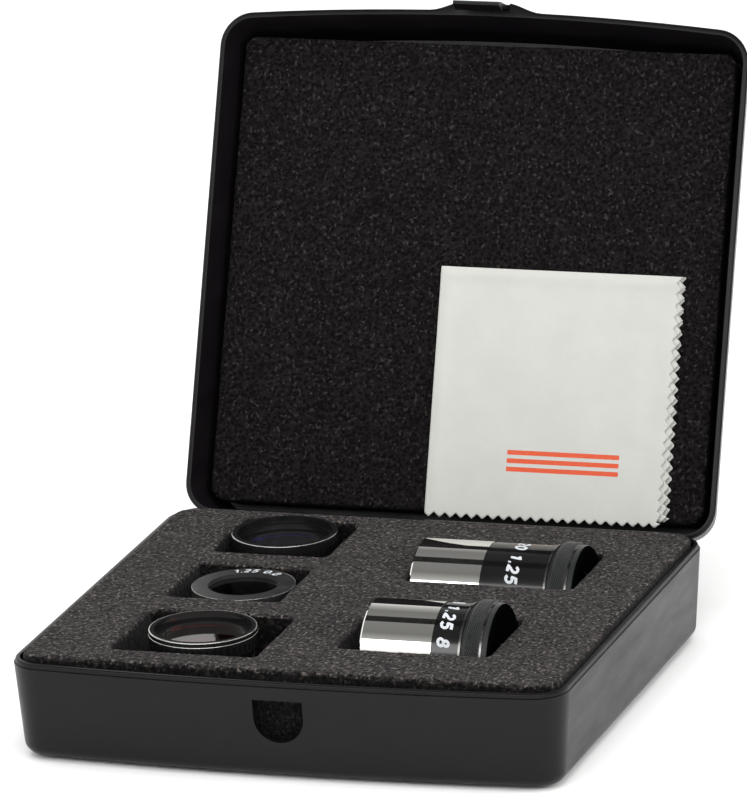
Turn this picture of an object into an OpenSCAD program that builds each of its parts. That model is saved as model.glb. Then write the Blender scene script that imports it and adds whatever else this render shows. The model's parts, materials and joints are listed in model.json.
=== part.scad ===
// Hinged carrying case for telescope eyepieces and filters, with its contents:
// two 1.25 inch eyepieces, three threaded filters and a folded lens cloth.
// The origin is the centre of the base's underside, the hinge is towards +Y, and
// the lid is drawn open, resting on its stops.

/* [Case] */
// Width of the case at the rim
case_w = 165; // [160:1:175]
// Depth of the case at the rim, without the bow of its front
case_d = 151; // [150:1:160]
// How far the front bows out at its middle
front_bow = 3.8; // [2:0.2:5]
// Radius of the case's corners, seen from above
corner_r = 9.5; // [7:0.5:12]
// Height of the base, from the table to its rim
base_h = 29.5; // [29:0.5:32]
// Height of the lid, from its rim to its outside
lid_h = 21; // [21:0.5:25]
// Thickness of the moulded walls
wall = 1.8; // [1.6:0.1:2.2]
// How much narrower the base is at the bottom, on each side
draft = 2.4; // [1:0.2:2.6]
// How much narrower the lid is at its outside, on each side
lid_taper = 5.4; // [2:0.2:6]
// Radius of the edge round the base's bottom and round the lid's outside
edge_r = 3.6; // [2.5:0.1:4]
// Height of the moulded feet
foot_h = 0.9; // [0.6:0.1:1.4]

/* [Hinge] */
// How far the lid opens, from closed
lid_open = 112.3; // [95:0.1:115]
// Distance of the hinge axis behind the rim's back edge
hinge_back = 1.6; // [1.4:0.1:2]
// Distance of the hinge axis below the rim
hinge_drop = 3.4; // [3.2:0.1:4]
// Diameter of the hinge pins
pin_d = 2; // [1.6:0.1:2.2]
// Distance of each hinge from the middle of the case
hinge_x = 48; // [35:1:60]

/* [Latch] */
// Width of the latch tongue
latch_w = 14.4; // [12:0.2:18]
// How far the tongue reaches below the rim when the lid is closed
latch_reach = 9.5; // [8:0.5:12]
// Width of the finger window in the base's front
window_w = 14.8; // [13:0.2:18]
// Height of the finger window
window_h = 12.7; // [11:0.1:14]
// Distance of the window's flat top below the rim
window_drop = 5.3; // [5:0.1:6]

/* [Foam] */
// How far the base's foam stands above the rim
foam_proud = 1.7; // [1:0.1:2]
// Depth of the lid's foam face behind the lid's rim, with the foam pressed by the closed lid
lid_recess = 11.8; // [11.8:0.1:13]
// Depth of the filters' pockets
filter_pocket_depth = 15; // [12:0.5:20]

/* [Eyepieces] */
// Outer diameter of the barrels, the 1.25 inch standard
barrel_d = 31.75; // [31.65:0.05:31.75]
// Visible length of the barrels
barrel_len = 21.3; // [20:0.1:24]
// Diameter of the thread in the barrels' noses, across its crests
thread_d = 28; // [27.6:0.1:28.2]
// Outer diameter of the ribbed grip rings
grip_d = 33.2; // [32.8:0.1:33.4]
// Length of the plain black body of the long eyepiece
long_body_len = 19.4; // [19:0.1:20]
// Length of the plain black body of the short eyepiece
short_body_len = 8.1; // [8:0.1:10]

/* [Filters] */
// Diameter of the filters' male threads
male_thread_d = 28.4; // [28.2:0.1:28.5]
// Overall height of a filter
filter_h = 8; // [7.6:0.1:9]

/* [Cloth] */
// Width of the folded cloth
cloth_w = 74.5; // [60:0.5:80]
// Length of the folded cloth
cloth_l = 75.5; // [60:0.5:76]
// Thickness of its four layers together
cloth_t = 1.4; // [1:0.1:1.6]

/* [Hidden] */
$fn = 64;

// A cut runs this far past the face it starts from.
past = 1;
// Gap that keeps two moving parts apart.
gap = 0.3;
// Gap between two parts that are assembled snugly.
snug = 0.05;

rim_gap = 0.2;
lid_rim_z = base_h + rim_gap;
lid_top_z = lid_rim_z + lid_h;
back_taper = 0.8;
floor_z = foot_h + wall;
hinge_y = case_d / 2 + hinge_back;
hinge_z = base_h - hinge_drop;
front_y = -(case_d / 2 + front_bow);

// Foam: a thin floor sheet, the cut block above it, and the sheet in the lid.
floor_sheet_t = 2.1;
foam_bottom_z = floor_z + floor_sheet_t;
foam_top_z = base_h + foam_proud;
foam_edge_gap = 0.9;
filter_pocket_z = foam_top_z - filter_pocket_depth;
pad_w = 23;

// Hinge knuckles: one of the base between two of the lid.
knuckle_r = 2.4;
base_knuckle_l = 10;
lid_knuckle_l = 8;
knuckle_gap = 0.3;
pin_l = base_knuckle_l + 2 * (knuckle_gap + lid_knuckle_l);

// Latch bulge on the lid's front, and the tongue's pivot in it.
bulge_out = 2.7;
bulge_w = 35;
bulge_flat = 12;
tongue_t = 1.2;
tongue_y = front_y - gap - 0.05 - tongue_t / 2;
pivot_z = lid_rim_z + 1.9;
pivot_r = 0.7;

// Eyepieces: nose centre of each, and the chain of lengths from the nose.
long_nose = [8.4, 32.2, 21.9];
short_nose = [14.2, -32.3, 24.4];
barrel_r = barrel_d / 2;
body_r = barrel_r - 0.2;
tube_r = 13.6;
thread_len = 4.5;
spigot_r = 14.5;
spigot_len = 2.1;
sleeve_seat_r = 14.9;
trim_t = 0.6;
grip_lip_t = 1.25;
grip_t = 4.4;
eyecup_t = 2.2;
eyecup_r = 16.3;
eyepiece_end = trim_t + grip_lip_t + grip_t + trim_t + 3 * snug;
shoulder_back = 1.7;
long_lens_r = 10;
long_lens_curve = 24;
long_lens_t = 5.2;
short_lens_r = 6.5;
short_lens_curve = 16;
short_lens_t = 3.4;
lens_rest = 1.2;
lens_air = 0.5;
lock_ring_t = 1.5;
pocket_half = grip_d / 2 + 0.4;
pocket_end_gap = 0.45;

// Filters: centre, top height and radius of each ring.
blue_at = [-39.1, 48.2, 33];
moon_at = [-37.2, 4, 30.6];
red_at = [-32.8, -45.3, 33.6];
blue_r = 15.7;
moon_r = 15.2;
red_r = 15.6;
moon_aperture_r = 10.5;
male_thread_len = 2.4;
female_thread_r = 14.05;
female_thread_len = 2;
glass_r = 13.3;
glass_t = 2;
// Corners of the filters' pockets: left, front, right, back.
blue_pocket = [-56.3, 32.1, -21.3, 64.3];
moon_pocket = [-55.9, -11.6, -21.6, 19.8];
red_pocket = [-55.2, -61.3, -12, -25.2];

// Cloth: its left edge, and its gap to the lid's hinge wall.
cloth_left = -9.2;
cloth_back_y = case_d / 2 - 2.7;

// ---------- outlines ----------

arc_steps = 10;
front_steps = 16;
bulge_steps = 20;
bulge_side_steps = 6;

function arc(cx, cy, r, from) =
    [for (i = [0 : arc_steps]) let (a = from + 90 * i / arc_steps) [cx + r * cos(a), cy + r * sin(a)]];

// Height of the latch bulge at x: flat in the middle, easing to nothing at its ends.
function bulge_at(x) =
    let (t = (abs(x) - bulge_flat / 2) / ((bulge_w - bulge_flat) / 2))
    t <= 0 ? 1 : (1 + cos(180 * min(t, 1))) / 2;

// Places along a front edge, from -half to half, closer together over the bulge.
function front_x(half, bulge) =
    let (b = bulge_w / 2)
    bulge == 0
        ? [for (i = [1 : front_steps - 1]) half * (2 * i / front_steps - 1)]
        : concat(
            [for (i = [1 : bulge_side_steps]) (half - b) * i / bulge_side_steps - half],
            [for (i = [1 : bulge_steps - 1]) b * (2 * i / bulge_steps - 1)],
            [for (i = [bulge_side_steps : -1 : 1]) half - (half - b) * i / bulge_side_steps]
        );

// Rounded rectangle, inset from the case's rim, with its front edge bowed out and bulging
// in the middle. The back edge has an inset of its own.
function case_outline(inset, back_inset, bow, bulge) =
    let (
        w = case_w / 2 - inset,
        d = case_d / 2 - inset,
        back = case_d / 2 - back_inset,
        r = max(corner_r - inset, 2),
        back_r = max(corner_r - back_inset, 2),
        front = [for (x = front_x(w - r, bulge)) [x, -d - bulge * bulge_at(x)]],
        points = concat(
            arc(w - back_r, back - back_r, back_r, 0), arc(back_r - w, back - back_r, back_r, 90),
            arc(r - w, r - d, r, 180),
            front, arc(w - r, r - d, r, 270)
        )
    )
    [for (p = points) p.y < 0 ? [p.x, p.y - bow * (1 - pow(p.x / w, 2))] : p];

// Closed solid through the case outline at several levels, each [height, inset] or
// [height, inset, inset of the back edge].
module loft(levels, bow = front_bow, bulge = 0) {
    n = len(case_outline(0, 0, bow, bulge));
    last = len(levels) - 1;
    points = [
        for (level = levels)
            let (back_inset = len(level) > 2 ? level[2] : level[1])
            for (p = case_outline(level[1], back_inset, bow, bulge)) [p.x, p.y, level[0]]
    ];
    sides = [
        for (k = [0 : last - 1]) for (i = [0 : n - 1])
            let (a = k * n + i, b = k * n + (i + 1) % n)
            each [[a, a + n, b + n], [a, b + n, b]]
    ];
    bottom = [[for (i = [0 : n - 1]) i]];
    top = [[for (i = [n - 1 : -1 : 0]) last * n + i]];
    polyhedron(points = points, faces = concat(bottom, sides, top));
}

function base_draft(z) = draft * (1 - z / base_h);
function lid_draft(z) = lid_taper * (z - lid_rim_z) / lid_h;
// The lid's back wall is nearly upright.
function lid_back_draft(z) = back_taper * (z - lid_rim_z) / lid_h;

// Rounded edge at the bottom of the base, then the side and the stepped rim.
edge_angles = [0 : 15 : 90];
rim_step = 0.55;
base_levels = concat(
    [for (a = edge_angles) let (z = foot_h + edge_r * (1 - cos(a)))
        [z, base_draft(z) + edge_r * (1 - sin(a))]],
    [
        [base_h - 1.4, base_draft(base_h - 1.4)],
        [base_h - 1.2, rim_step],
        [base_h - 0.4, rim_step + 0.05],
        [base_h - 0.1, rim_step + 0.2],
        [base_h, rim_step + 0.45]
    ]
);
base_inside_levels = [
    [floor_z, wall + base_draft(floor_z) + 0.3],
    [base_h - 1.2, wall + base_draft(base_h - 1.2)],
    [base_h + past, wall]
];

// Lid in its closed place, from its rounded rim up to the rounded edge of its outside.
lid_levels = concat(
    [
        [lid_rim_z, 0.9],
        [lid_rim_z + 0.15, 0.5],
        [lid_rim_z + 0.5, 0.15],
        [lid_rim_z + 1.1, lid_draft(lid_rim_z + 1.1), lid_back_draft(lid_rim_z + 1.1)]
    ],
    [for (i = [6 : -1 : 0])
        let (a = i * 15, z = lid_top_z - edge_r * (1 - cos(a)), in = edge_r * (1 - sin(a)))
        [z, lid_draft(z) + in, lid_back_draft(z) + in]]
);
lid_inside_z = lid_top_z - wall;
lid_inside_levels = [
    [lid_rim_z - past, wall - 0.1],
    [lid_rim_z, wall - 0.1],
    [lid_rim_z + 0.6, wall + 0.2],
    [lid_inside_z, wall + 0.2 + lid_draft(lid_inside_z), wall + 0.2 + lid_back_draft(lid_inside_z)]
];

// ---------- placing ----------

// Turns what is drawn in the lid's closed place to where the open lid is.
module opened() {
    translate([0, hinge_y, hinge_z]) rotate([-lid_open, 0, 0]) translate([0, -hinge_y, -hinge_z])
        children();
}

// A rod along X, centred on x.
module rod(x, y, z, r, l) {
    translate([x - l / 2, y, z]) rotate([0, 90, 0]) cylinder(r = r, h = l);
}

// A block from its low corner to its high corner.
module block(low, high) {
    translate(low) cube(high - low);
}

// Lays an eyepiece, drawn nose down on the Z axis, along +X from its nose.
module laid(nose) {
    translate(nose) rotate([0, 90, 0]) children();
}

module washer(outer, inner, bottom, top) {
    translate([0, 0, bottom]) difference() {
        cylinder(r = outer, h = top - bottom);
        translate([0, 0, -past]) cylinder(r = inner, h = top - bottom + 2 * past);
    }
}

// ---------- case ----------

module feet() {
    foot_w = 12.5;
    foot_from_edge = 15.5;
    for (sx = [-1, 1]) for (sy = [-1, 1])
        translate([sx * (case_w / 2 - foot_from_edge), sy * (case_d / 2 - foot_from_edge), foot_h])
            cube([foot_w, foot_w, 2 * foot_h], center = true);
    cylinder(d = 18, h = 2 * foot_h);
}

// The finger window: a flat top over a half circle.
module window_cut() {
    top = base_h - window_drop;
    r = window_w / 2;
    translate([0, front_y + 6, 0]) rotate([90, 0, 0]) linear_extrude(12) intersection() {
        union() {
            translate([0, top - window_h + r]) circle(r = r);
            translate([-r, top - window_h + r]) square([window_w, window_h]);
        }
        translate([-window_w, top - 2 * window_h]) square([2 * window_w, 2 * window_h]);
    }
}

module base_shell() {
    saddle_y = hinge_y - hinge_back - 0.6;
    color([0.09, 0.09, 0.1]) difference() {
        union() {
            loft(base_levels);
            feet();
            for (s = [-1, 1]) {
                rod(s * hinge_x, hinge_y, hinge_z, knuckle_r, base_knuckle_l);
                block(
                    [s * hinge_x - base_knuckle_l / 2, saddle_y, hinge_z - knuckle_r],
                    [s * hinge_x + base_knuckle_l / 2, hinge_y, hinge_z + knuckle_r]
                );
            }
        }
        loft(base_inside_levels);
        window_cut();
        for (s = [-1, 1]) {
            rod(s * hinge_x, hinge_y, hinge_z, pin_d / 2, pin_l);
            for (t = [-1, 1])
                rod(
                    s * hinge_x + t * (base_knuckle_l + lid_knuckle_l + 2 * knuckle_gap) / 2,
                    hinge_y, hinge_z, knuckle_r + 0.35, lid_knuckle_l + 2 * knuckle_gap
                );
        }
    }
}

module hinge_pins() {
    color("silver")
        for (s = [-1, 1]) rod(s * hinge_x, hinge_y, hinge_z, pin_d / 2, pin_l);
}

// One of the lid's knuckles with its ear up to the lid, and the lug that meets the
// base's back wall when the lid is open.
module lid_knuckle(x) {
    ear_top = lid_rim_z + 5 - hinge_z;
    ear_back = knuckle_r - 0.2;
    root = lid_rim_z + 0.3 - hinge_z;
    translate([x - lid_knuckle_l / 2, hinge_y, hinge_z]) rotate([90, 0, 90])
        linear_extrude(lid_knuckle_l) {
            circle(r = knuckle_r);
            translate([0.4 - hinge_back, 0]) square([ear_back + hinge_back - 0.4, ear_top]);
            translate([-hinge_back - 1.6, root]) square([hinge_back + 2, ear_top - root]);
            rotate(lid_open) translate([-1.95, -5.6]) square([2.55, 5.6]);
        }
}

module lid_shell() {
    color([0.07, 0.07, 0.08]) opened() difference() {
        union() {
            loft(lid_levels, bulge = bulge_out);
            for (s = [-1, 1]) for (t = [-1, 1])
                lid_knuckle(s * hinge_x + t * (base_knuckle_l + lid_knuckle_l + 2 * knuckle_gap) / 2);
        }
        loft(lid_inside_levels);
        rod(0, tongue_y, pivot_z, pivot_r + 0.15, latch_w + 2 * gap);
        block(
            [-latch_w / 2 - gap, front_y - bulge_out - past, lid_rim_z - past],
            [latch_w / 2 + gap, front_y - 0.15, pivot_z]
        );
        for (s = [-1, 1]) rod(s * hinge_x, hinge_y, hinge_z, pin_d / 2 + snug, pin_l + 2 * past);
    }
}

module latch_tongue() {
    tip_z = base_h - latch_reach;
    nub_z = base_h - window_drop - 0.5;
    color([0.08, 0.08, 0.09]) opened() {
        rod(0, tongue_y, pivot_z, pivot_r, latch_w);
        translate([-latch_w / 2, 0, 0]) rotate([90, 0, 90]) linear_extrude(latch_w)
            polygon([
                [tongue_y - tongue_t / 2, pivot_z], [tongue_y - tongue_t / 2, tip_z + 0.8],
                [tongue_y - tongue_t / 4, tip_z], [tongue_y + tongue_t / 2, tip_z],
                [tongue_y + tongue_t / 2 + 1.3, nub_z - 0.9], [tongue_y + tongue_t / 2 + 1.3, nub_z],
                [tongue_y + tongue_t / 2, nub_z], [tongue_y + tongue_t / 2, pivot_z]
            ]);
    }
}

// ---------- foam and cloth ----------

module pocket(corners, floor) {
    block([corners[0], corners[1], floor], [corners[2], corners[3], foam_top_z + past]);
}

module eyepiece_pocket(nose, len, left, floor) {
    block(
        [left, nose.y - pocket_half, floor],
        [nose.x + len + pocket_end_gap, nose.y + pocket_half, foam_top_z + past]
    );
}

long_len = barrel_len + long_body_len + eyepiece_end + eyecup_t;
short_len = barrel_len + short_body_len + eyepiece_end + eyecup_t;

module base_foam() {
    color([0.22, 0.21, 0.21]) difference() {
        loft([
            [foam_bottom_z, wall + base_draft(foam_bottom_z) + 0.5],
            [base_h - 2, wall + foam_edge_gap],
            [foam_top_z - 0.7, wall + foam_edge_gap],
            [foam_top_z, wall + foam_edge_gap + 0.6]
        ], 0);
        pocket(blue_pocket, filter_pocket_z);
        pocket(moon_pocket, filter_pocket_z);
        pocket(red_pocket, filter_pocket_z);
        eyepiece_pocket(long_nose, long_len, 7.9, foam_bottom_z - past);
        eyepiece_pocket(short_nose, short_len, 8.3, short_nose.z - grip_d / 2 - gap);
    }
}

module foam_floor() {
    color([0.16, 0.16, 0.16])
        loft([
            [floor_z, wall + base_draft(floor_z) + 0.7],
            [foam_bottom_z, wall + base_draft(foam_bottom_z) + 0.7]
        ], 0);
}

// The plugs left in the filters' pockets, which the filters stand on.
module filter_pads() {
    color([0.2, 0.19, 0.19])
        for (at = [blue_at, moon_at, red_at])
            block(
                [at.x - pad_w / 2, at.y - pad_w / 2, filter_pocket_z],
                [at.x + pad_w / 2, at.y + pad_w / 2, at.z - filter_h - gap]
            );
}

module lid_foam() {
    face_z = lid_rim_z + lid_recess;
    back_inset = wall + back_taper + 2.2;
    color([0.1, 0.1, 0.1]) opened()
        loft([
            [face_z, wall + 0.7 + lid_draft(face_z), back_inset],
            [lid_inside_z, wall + 0.7 + lid_draft(lid_inside_z), back_inset]
        ], 0);
}

module lens_cloth() {
    top = lid_rim_z + lid_recess - 0.15;
    color([0.85, 0.86, 0.85]) opened()
        block([cloth_left, cloth_back_y - cloth_l, top - cloth_t], [cloth_left + cloth_w, cloth_back_y, top]);
}

// ---------- eyepieces, drawn nose down on the Z axis ----------

module barrel() {
    lip = 0.5;
    difference() {
        rotate_extrude() polygon([
            [0, 0], [barrel_r - lip, 0], [barrel_r, lip], [barrel_r, barrel_len],
            [spigot_r, barrel_len], [spigot_r, barrel_len + spigot_len], [0, barrel_len + spigot_len]
        ]);
        translate([0, 0, -past]) cylinder(r = tube_r, h = barrel_len + spigot_len + 2 * past);
        translate([0, 0, -past]) cylinder(r = thread_d / 2, h = thread_len + past);
    }
}

// Black housing: label band, seat for the rings, lens bore and the wall round the eye lens.
module housing(body_len, lens_r) {
    seat = barrel_len + body_len;
    end = seat + eyepiece_end;
    difference() {
        union() {
            translate([0, 0, barrel_len + snug]) cylinder(r = body_r, h = body_len - snug);
            translate([0, 0, seat - snug]) cylinder(r = sleeve_seat_r, h = end - seat + snug);
        }
        translate([0, 0, barrel_len - past]) {
            cylinder(r = spigot_r + snug, h = spigot_len + past + snug);
            cylinder(r = lens_r + snug, h = end - shoulder_back - barrel_len + past);
            cylinder(r = lens_r - 1.5, h = end - barrel_len + 2 * past);
        }
    }
}

module trim_ring(body_len) {
    from = barrel_len + body_len;
    washer(barrel_r + 0.2, sleeve_seat_r + snug, from, from + trim_t);
}

// Rubber ring: a low lip, then the ribbed band.
module grip_ring(body_len) {
    from = barrel_len + body_len + trim_t + snug;
    washer(barrel_r - 0.4, sleeve_seat_r + snug, from, from + grip_lip_t + 0.5);
    washer(grip_d / 2, sleeve_seat_r + snug, from + grip_lip_t, from + grip_lip_t + grip_t);
}

module top_ring(body_len) {
    from = barrel_len + body_len + trim_t + grip_lip_t + grip_t + 2 * snug;
    washer(grip_d / 2 - 0.15, sleeve_seat_r + snug, from, from + trim_t);
}

// Low rubber cup with a rounded outside, dished down to the eye lens.
module eyecup(body_len, lens_r) {
    from = barrel_len + body_len + eyepiece_end + snug;
    round_r = 1.4;
    hole = lens_r - 1.6;
    translate([0, 0, from]) rotate_extrude() polygon(concat(
        [[hole, 0], [eyecup_r, 0]],
        [for (a = [0 : 15 : 90])
            [eyecup_r - round_r * (1 - cos(a)), eyecup_t - snug - round_r * (1 - sin(a))]],
        [[eyecup_r - 2.4, eyecup_t - snug], [hole + 0.8, 0.7], [hole, 0.5]]
    ));
}

module field_stop(open_r) {
    from = 15.5;
    washer(tube_r - 0.04, open_r, from, from + 1.2);
}

function sag(curve, r) = curve - sqrt(curve * curve - r * r);

lens_steps = 10;
function lens_face(curve, r) = [for (i = [0 : lens_steps]) let (x = r * i / lens_steps) [x, sag(curve, x)]];
function turned_round(points) = [for (i = [len(points) - 1 : -1 : 0]) points[i]];

// Lens with both faces bulging, from z up.
module crown_lens(z, r, curve, t) {
    face = lens_face(curve, r);
    translate([0, 0, z]) rotate_extrude()
        polygon(concat(face, [for (p = turned_round(face)) [p.x, t - p.y]]));
}

// Lens with one flat face at z and a hollow face that takes a bulging lens.
// side is 1 where the flat face is on top, and -1 where it is below.
module flint_lens(z, r, curve, side) {
    cement = 0.03;
    hollow = [for (p = turned_round(lens_face(curve, r))) [p.x, -side * (lens_rest - cement + p.y)]];
    translate([0, 0, z]) rotate_extrude() polygon(concat([[0, 0], [r, 0]], hollow));
}

// Where the lens stack starts, next to the housing's shoulder.
function stack_top(body_len) = barrel_len + body_len + eyepiece_end - shoulder_back - snug;

module eye_flint(body_len, r, curve) {
    flint_lens(stack_top(body_len), r, curve, 1);
}

module eye_crown(body_len, r, curve, t) {
    crown_lens(stack_top(body_len) - lens_rest - t, r, curve, t);
}

module lens_spacer(body_len, r, curve, t) {
    middle = stack_top(body_len) - lens_rest - t - lens_air / 2;
    half = lens_air / 2 + sag(curve, r - 1) - 0.05;
    washer(r, r - 1, middle - half, middle + half);
}

module field_crown(body_len, r, curve, t) {
    crown_lens(stack_top(body_len) - lens_rest - lens_air - 2 * t, r, curve, t);
}

module field_flint(body_len, r, curve, t) {
    flint_lens(stack_top(body_len) - 2 * lens_rest - lens_air - 2 * t, r, curve, -1);
}

module lens_lock_ring(body_len, r, t) {
    top = stack_top(body_len) - 2 * lens_rest - lens_air - 2 * t - snug;
    washer(r, r - 1.2, top - lock_ring_t, top);
}

// ---------- filters, drawn standing on their male threads ----------

module placed_filter(at) {
    translate([at.x, at.y, at.z - filter_h]) children();
}

// Male thread below, knurled band and plain rim above.
module filter_body(r) {
    notches = 48;
    cylinder(r = male_thread_d / 2, h = male_thread_len + 0.5);
    difference() {
        translate([0, 0, male_thread_len]) rotate_extrude() polygon([
            [0, 0], [r - 0.3, 0], [r, 0.3], [r, filter_h - male_thread_len - 0.35],
            [r - 0.35, filter_h - male_thread_len], [0, filter_h - male_thread_len]
        ]);
        for (i = [0 : notches - 1]) rotate([0, 0, 360 * i / notches])
            translate([r - 0.3, -0.4, male_thread_len + 0.8]) cube([past, 0.8, 2.2]);
    }
}

// Filter ring whose glass rests on a ledge, at seat above the bottom.
module open_filter_ring(r, seat) {
    difference() {
        filter_body(r);
        translate([0, 0, -past]) cylinder(r = glass_r - 0.9, h = filter_h + 2 * past);
        translate([0, 0, seat]) cylinder(r = glass_r + snug, h = filter_h);
        translate([0, 0, filter_h - female_thread_len])
            cylinder(r = female_thread_r, h = female_thread_len + past);
    }
}

module filter_glass(seat) {
    translate([0, 0, seat + snug]) cylinder(r = glass_r, h = glass_t);
}

module filter_lock_ring(seat) {
    washer(glass_r, glass_r - 1.1, seat + glass_t + 2 * snug, seat + glass_t + 1.1);
}

blue_seat = 1;
red_seat = 2.6;
moon_plate_t = 1.2;
moon_seat = filter_h - moon_plate_t - glass_t - 2 * snug;

module moon_filter_ring() {
    color([0.12, 0.12, 0.13]) placed_filter(moon_at) difference() {
        filter_body(moon_r);
        translate([0, 0, -past]) cylinder(r = glass_r + snug, h = filter_h - moon_plate_t + past);
        translate([0, 0, -past]) cylinder(r = moon_aperture_r, h = filter_h + 2 * past);
    }
}

module moon_filter_lock_ring() {
    top = moon_seat;
    color([0.1, 0.1, 0.1]) placed_filter(moon_at) washer(glass_r, glass_r - 1.3, top - 1.2, top);
}

module moon_filter_glass() {
    color([0.2, 0.22, 0.22, 0.8]) placed_filter(moon_at) filter_glass(moon_seat);
}

// ---------- the parts ----------

module long_barrel() { color("silver") laid(long_nose) barrel(); }
module long_body() { color([0.05, 0.05, 0.05]) laid(long_nose) housing(long_body_len, long_lens_r); }
module long_trim_ring() { color("silver") laid(long_nose) trim_ring(long_body_len); }
module long_grip_ring() { color([0.14, 0.14, 0.14]) laid(long_nose) grip_ring(long_body_len); }
module long_top_ring() { color("silver") laid(long_nose) top_ring(long_body_len); }
module long_eyecup() { color([0.1, 0.11, 0.11]) laid(long_nose) eyecup(long_body_len, long_lens_r); }
module long_field_stop() { color([0.06, 0.06, 0.06]) laid(long_nose) field_stop(9.5); }
module long_eye_flint() {
    color([0.8, 0.9, 1, 0.5]) laid(long_nose) eye_flint(long_body_len, long_lens_r, long_lens_curve);
}
module long_eye_crown() {
    color([0.8, 0.9, 1, 0.5]) laid(long_nose)
        eye_crown(long_body_len, long_lens_r, long_lens_curve, long_lens_t);
}
module long_lens_spacer() {
    color([0.1, 0.1, 0.1]) laid(long_nose)
        lens_spacer(long_body_len, long_lens_r, long_lens_curve, long_lens_t);
}
module long_field_crown() {
    color([0.8, 0.9, 1, 0.5]) laid(long_nose)
        field_crown(long_body_len, long_lens_r, long_lens_curve, long_lens_t);
}
module long_field_flint() {
    color([0.8, 0.9, 1, 0.5]) laid(long_nose)
        field_flint(long_body_len, long_lens_r, long_lens_curve, long_lens_t);
}
module long_lock_ring() {
    color([0.1, 0.1, 0.1]) laid(long_nose) lens_lock_ring(long_body_len, long_lens_r, long_lens_t);
}

module short_barrel() { color("silver") laid(short_nose) barrel(); }
module short_body() { color([0.05, 0.05, 0.05]) laid(short_nose) housing(short_body_len, short_lens_r); }
module short_trim_ring() { color("silver") laid(short_nose) trim_ring(short_body_len); }
module short_grip_ring() { color([0.14, 0.14, 0.14]) laid(short_nose) grip_ring(short_body_len); }
module short_top_ring() { color("silver") laid(short_nose) top_ring(short_body_len); }
module short_eyecup() { color([0.1, 0.11, 0.11]) laid(short_nose) eyecup(short_body_len, short_lens_r); }
module short_field_stop() { color([0.06, 0.06, 0.06]) laid(short_nose) field_stop(5.5); }
module short_eye_flint() {
    color([0.8, 0.9, 1, 0.5]) laid(short_nose) eye_flint(short_body_len, short_lens_r, short_lens_curve);
}
module short_eye_crown() {
    color([0.8, 0.9, 1, 0.5]) laid(short_nose)
        eye_crown(short_body_len, short_lens_r, short_lens_curve, short_lens_t);
}
module short_lens_spacer() {
    color([0.1, 0.1, 0.1]) laid(short_nose)
        lens_spacer(short_body_len, short_lens_r, short_lens_curve, short_lens_t);
}
module short_field_crown() {
    color([0.8, 0.9, 1, 0.5]) laid(short_nose)
        field_crown(short_body_len, short_lens_r, short_lens_curve, short_lens_t);
}
module short_field_flint() {
    color([0.8, 0.9, 1, 0.5]) laid(short_nose)
        field_flint(short_body_len, short_lens_r, short_lens_curve, short_lens_t);
}
module short_lock_ring() {
    color([0.1, 0.1, 0.1]) laid(short_nose) lens_lock_ring(short_body_len, short_lens_r, short_lens_t);
}

module blue_filter_ring() {
    color([0.12, 0.12, 0.13]) placed_filter(blue_at) open_filter_ring(blue_r, blue_seat);
}
module blue_filter_glass() {
    color([0.1, 0.15, 0.5, 0.8]) placed_filter(blue_at) filter_glass(blue_seat);
}
module blue_filter_lock_ring() {
    color([0.1, 0.1, 0.1]) placed_filter(blue_at) filter_lock_ring(blue_seat);
}
module red_filter_ring() {
    color([0.12, 0.12, 0.13]) placed_filter(red_at) open_filter_ring(red_r, red_seat);
}
module red_filter_glass() {
    color([0.5, 0.05, 0.05, 0.8]) placed_filter(red_at) filter_glass(red_seat);
}
module red_filter_lock_ring() {
    color([0.1, 0.1, 0.1]) placed_filter(red_at) filter_lock_ring(red_seat);
}

base_shell();
base_foam();
foam_floor();
filter_pads();
hinge_pins();
lid_shell();
lid_foam();
latch_tongue();
lens_cloth();
long_barrel();
long_body();
long_trim_ring();
long_grip_ring();
long_top_ring();
long_eyecup();
long_field_stop();
long_eye_flint();
long_eye_crown();
long_lens_spacer();
long_field_crown();
long_field_flint();
long_lock_ring();
short_barrel();
short_body();
short_trim_ring();
short_grip_ring();
short_top_ring();
short_eyecup();
short_field_stop();
short_eye_flint();
short_eye_crown();
short_lens_spacer();
short_field_crown();
short_field_flint();
short_lock_ring();
blue_filter_ring();
blue_filter_glass();
blue_filter_lock_ring();
moon_filter_ring();
moon_filter_glass();
moon_filter_lock_ring();
red_filter_ring();
red_filter_glass();
red_filter_lock_ring();
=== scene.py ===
"""Looks of the eyepiece case: foam, cloth, rubber, chrome, glass and the studio.

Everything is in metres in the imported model's frame. What belongs to the lid is built where it
is with the lid closed, and then turned open with OPENED.
"""

import json
import math

import bmesh
import bpy
import numpy as np
from mathutils import Matrix, Vector, noise

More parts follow.
